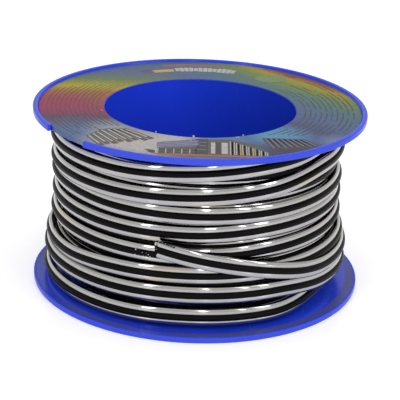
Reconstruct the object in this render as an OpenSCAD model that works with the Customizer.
// Reel of decorative trim strip: a black strip with two chrome bands, wound on a blue plastic reel.
// Millimetres, +Z up along the reel's axis, origin at the centre of the lower flange's foot.
// Angles run from the front (-Y) towards +X, so a positive angle is on the right of the front.

/* [Reel] */
// Outside diameter of the two flanges
flange_d = 200; // [196:1:220]
// Width of the reel over both rims
reel_w = 110; // [106:1:130]
// Diameter of the bore through the reel
bore_d = 115; // [108:1:118]
// Wall thickness of the core tube
tube_wall = 3; // [2:0.5:3.5]
// Thickness of the flanges' flat plate
plate_t = 1.7; // [1.5:0.1:2.3]

/* [Rim] */
// Radial width of the rim round each flange
rim_w = 3; // [2.5:0.5:4]
// Height of the rim along the axis
rim_h = 3.5; // [3.2:0.1:5]
// Rounding of the rim's edges
rim_round = 0.8; // [0.4:0.1:1.2]
// Arc that the notch takes out of the upper rim, in degrees
notch_arc = 20; // [8:1:30]
// Angle of the notch's middle, from the front
notch_at = -50; // [-90:5:-30]

/* [Label] */
// Thickness of the ring label
label_t = 0.2; // [0.1:0.05:0.4]

/* [Strip] */
// Width of the trim strip
strip_w = 10; // [9:0.5:10.5]
// Thickness of the strip over its black bead
strip_t = 3.6; // [3.2:0.1:3.9]
// Width of the black bead along the strip's middle
bead_w = 4.2; // [3.5:0.1:4.5]
// Thickness of the chrome film
film_t = 0.3; // [0.2:0.05:0.4]

/* [Winding] */
// Layers of turns on the core
layers = 7; // [4:1:7]
// Turns in an odd layer, one more than in the layer over it
turns = 8; // [5:1:8]
// How far the lowest turns bulge out, where the turns pile up on the lower flange
low_swell = 4; // [0:0.5:5]

/* [Hidden] */

$fn = 180;

BLUE = "#2036c8";
LABEL = "#8f9aa8";
BLACK = "#1c1c1e";
CHROME = "#c9ccd2";

flange_r = flange_d / 2;
bore_r = bore_d / 2;
tube_r = bore_r + tube_wall;
plate_edge_r = flange_r - rim_w;

// Depth of the seat in each plate that takes the tube's end
seat_depth = 0.8;
// Height of the plate's outer face; its inner face is level with the rim's inner edge
plate_out_z = rim_h - plate_t;
// Chamfer of the bore's mouth, and rounding of the rim's inner edge
mouth_chamfer = 0.3;
rim_inner_round = 0.5;
// How far the label stays back from the chamfer and from the rim
label_inset = 0.1;

// Radial slack between the tube and the first layer, and between one layer and the next
layer_gap = 0.1;
layer_pitch = strip_t + layer_gap;
// Thin web that joins a layer's turns into one solid
web_t = 1;
// Room between the outermost turns and the plates
edge_gap = 1;
turn_low_z = rim_h + edge_gap + strip_w / 2;
turn_high_z = reel_w - turn_low_z;
turn_pitch = (turn_high_z - turn_low_z) / (turns - 1);

// Inner face of the last turn and the free end, which lie on the outer layer
top_lift = 1.7;
top_r = tube_r + layer_gap + layers * layer_pitch + top_lift;

// Height of the top turn's middle line at angles from the front, from the cut end to the back
TOP_ROUTE = [
    [-14, 51.5], [0, 47], [15, 42.5], [30, 37.5], [45, 32.5], [60, 30],
    [75, 29], [120, 29.5], [180, 31], [240, 32], [300, 33]
];
CUT_END = -14;
TAIL_HINGES = [75, 45, 15];
LAST_TURN_END = 300;
// Half of the gap between neighbouring links, in degrees
link_gap = 0.1;
// Angle between the rings of a swept strip
ring_step = 5;

// Where the chrome flank begins at the strip's edge, and where it meets the bead
flank_edge_t = 1.2;
flank_top_t = 2.6;
bead_shoulder_t = strip_t - 0.35;
half_w = strip_w / 2;
half_bead = bead_w / 2;

// Cross-sections as [distance out from the inner face, height over the middle line]
CARRIER = [
    [0, half_w], [0, -half_w],
    [flank_edge_t - film_t, -half_w], [flank_top_t - film_t, -half_bead],
    [flank_top_t, -half_bead], [bead_shoulder_t, -half_bead * 0.6],
    [strip_t, 0],
    [bead_shoulder_t, half_bead * 0.6], [flank_top_t, half_bead],
    [flank_top_t - film_t, half_bead], [flank_edge_t - film_t, half_w]
];
FILM_UPPER = [
    [flank_edge_t - film_t, half_w], [flank_top_t - film_t, half_bead],
    [flank_top_t, half_bead], [flank_edge_t, half_w]
];
FILM_LOWER = [
    [flank_edge_t - film_t, -half_w], [flank_edge_t, -half_w],
    [flank_top_t, -half_bead], [flank_top_t - film_t, -half_bead]
];

// Outline of one turn on the web of its layer, from its upper edge to its lower
TURN = [
    [web_t, half_w], [flank_edge_t, half_w], [flank_top_t, half_bead],
    [bead_shoulder_t, half_bead * 0.6], [strip_t, 0], [bead_shoulder_t, -half_bead * 0.6],
    [flank_top_t, -half_bead], [flank_edge_t, -half_w], [web_t, -half_w]
];

// Quarter of a circle about [x, y], starting at angle a
function corner(x, y, r, a) = [for (t = [0 : 30 : 90]) [x, y] + r * [cos(a + t), sin(a + t)]];

// Plate and rounded rim of a flange lying with its outer face down, as [radius, height]
function rim_outline() = concat(
    [[bore_r, plate_out_z + mouth_chamfer], [bore_r + mouth_chamfer, plate_out_z],
     [plate_edge_r - rim_inner_round, plate_out_z]],
    corner(plate_edge_r + rim_round, rim_round, rim_round, 180),
    corner(flange_r - rim_round, rim_round, rim_round, 270),
    corner(flange_r - rim_inner_round, rim_h - rim_inner_round, rim_inner_round, 0),
    [[tube_r, rim_h], [tube_r, rim_h - seat_depth], [bore_r, rim_h - seat_depth]]
);

module flange() {
    rotate_extrude() polygon(rim_outline());
}

// Sector of a ring, used to cut the notch
module sector(r, h, from, to) {
    rotate([0, 0, from - 90])
        rotate_extrude(angle = to - from)
            square([r, h]);
}

// The notch takes out the rim and leaves the plate; a round nose stands on each cut end of the rim
module notched_flange() {
    end_r = rim_w / 2;
    nose_inset = 0.5;
    difference() {
        flange();
        difference() {
            translate([0, 0, -1])
                sector(flange_r + 1, rim_h + 2, notch_at - notch_arc / 2, notch_at + notch_arc / 2);
            translate([0, 0, -2])
                cylinder(r = plate_edge_r, h = rim_h + 4);
        }
    }
    for (side = [-1, 1])
        rotate([0, 0, notch_at + side * notch_arc / 2 - 90])
            translate([flange_r - end_r, 0, nose_inset])
                cylinder(r = end_r - nose_inset, h = rim_h - 2 * nose_inset);
}

module core_tube() {
    seat_z = rim_h - seat_depth;
    color(BLUE)
        translate([0, 0, seat_z])
            difference() {
                cylinder(r = tube_r, h = reel_w - 2 * seat_z);
                translate([0, 0, -1])
                    cylinder(r = bore_r, h = reel_w);
            }
}

module lower_flange() {
    color(BLUE) flange();
}

// The same moulding turned over, with the notch cut in its rim
module upper_flange() {
    color(BLUE)
        translate([0, 0, reel_w])
            mirror([0, 0, 1])
                notched_flange();
}

// Printed ring stuck in the recess, from the bore's chamfer out to the rim
module ring_label() {
    inner_r = bore_r + mouth_chamfer + label_inset;
    outer_r = plate_edge_r - rim_inner_round - label_inset;
    color(LABEL)
        translate([0, 0, reel_w - plate_out_z])
            difference() {
                cylinder(r = outer_r, h = label_t);
                translate([0, 0, -1])
                    cylinder(r = inner_r, h = label_t + 2);
            }
}

// How far the winding bulges at this height: in full at the lowest turn, and not at all one pitch up
function swell(z) = low_swell * min(1, max(0, 1 - (z - turn_low_z) / turn_pitch));

// A point of the winding, moved out by its share of the bulge, which grows from nothing at the tube
function bulged(r, z) = [r + swell(z) * (r - tube_r) / (layers * layer_pitch), z];

// One layer: a sleeve whose face carries the turns, side by side with narrow grooves between
module strip_layer(i) {
    even = i % 2 == 0;
    count = even ? turns - 1 : turns;
    first_z = even ? turn_high_z - turn_pitch / 2 : turn_high_z;
    foot_z = first_z - (count - 1) * turn_pitch - half_w;
    inner_r = tube_r + layer_gap + (i - 1) * layer_pitch;
    outer = [
        for (t = [0 : count - 1])
            for (p = TURN)
                bulged(inner_r + p[0], first_z - t * turn_pitch + p[1])
    ];
    inner = [
        for (z = [foot_z, turn_low_z, turn_low_z + turn_pitch, first_z + half_w])
            if (z >= foot_z)
                bulged(inner_r, z)
    ];
    color(BLACK)
        rotate_extrude()
            polygon(concat(outer, inner));
}

// Strip swept round the winding, its rings in upright planes through the axis
module swept_strip(section, from, to) {
    steps = ceil(abs(to - from) / ring_step);
    n = len(section);
    rings = [
        for (k = [0 : steps])
            let (a = from + (to - from) * k / steps)
                let (z = lookup(a, TOP_ROUTE))
                    for (p = section)
                        [(top_r + p[0]) * sin(a), -(top_r + p[0]) * cos(a), z + p[1]]
    ];
    sides = [
        for (k = [0 : steps - 1])
            for (i = [0 : n - 1])
                let (a = k * n + i)
                    let (b = k * n + (i + 1) % n)
                        each [[a, b, b + n], [a, b + n, a + n]]
    ];
    caps = [[for (i = [n - 1 : -1 : 0]) i], [for (i = [0 : n - 1]) steps * n + i]];
    polyhedron(points = rings, faces = concat(sides, caps), convexity = 6);
}

// Ends of each stretch of the top turn, nearest the back first
function link_from(k) = k == 0 ? LAST_TURN_END : TAIL_HINGES[k - 1] - link_gap;
function link_to(k) = k == 3 ? CUT_END : TAIL_HINGES[k] + link_gap;

module carrier(k) {
    color(BLACK) swept_strip(CARRIER, link_to(k), link_from(k));
}

module film_upper(k) {
    color(CHROME) swept_strip(FILM_UPPER, link_to(k), link_from(k));
}

module film_lower(k) {
    color(CHROME) swept_strip(FILM_LOWER, link_to(k), link_from(k));
}

core_tube();
lower_flange();
upper_flange();
ring_label();
strip_layer(1);  // strip_layer_1
strip_layer(2);  // strip_layer_2
strip_layer(3);  // strip_layer_3
strip_layer(4);  // strip_layer_4
strip_layer(5);  // strip_layer_5
strip_layer(6);  // strip_layer_6
strip_layer(7);  // strip_layer_7
carrier(0);  // last_turn_carrier
film_upper(0);  // last_turn_film_upper
film_lower(0);  // last_turn_film_lower
carrier(1);  // tail_root_carrier
film_upper(1);  // tail_root_film_upper
film_lower(1);  // tail_root_film_lower
carrier(2);  // tail_mid_carrier
film_upper(2);  // tail_mid_film_upper
film_lower(2);  // tail_mid_film_lower
carrier(3);  // tail_tip_carrier
film_upper(3);  // tail_tip_film_upper
film_lower(3);  // tail_tip_film_lower
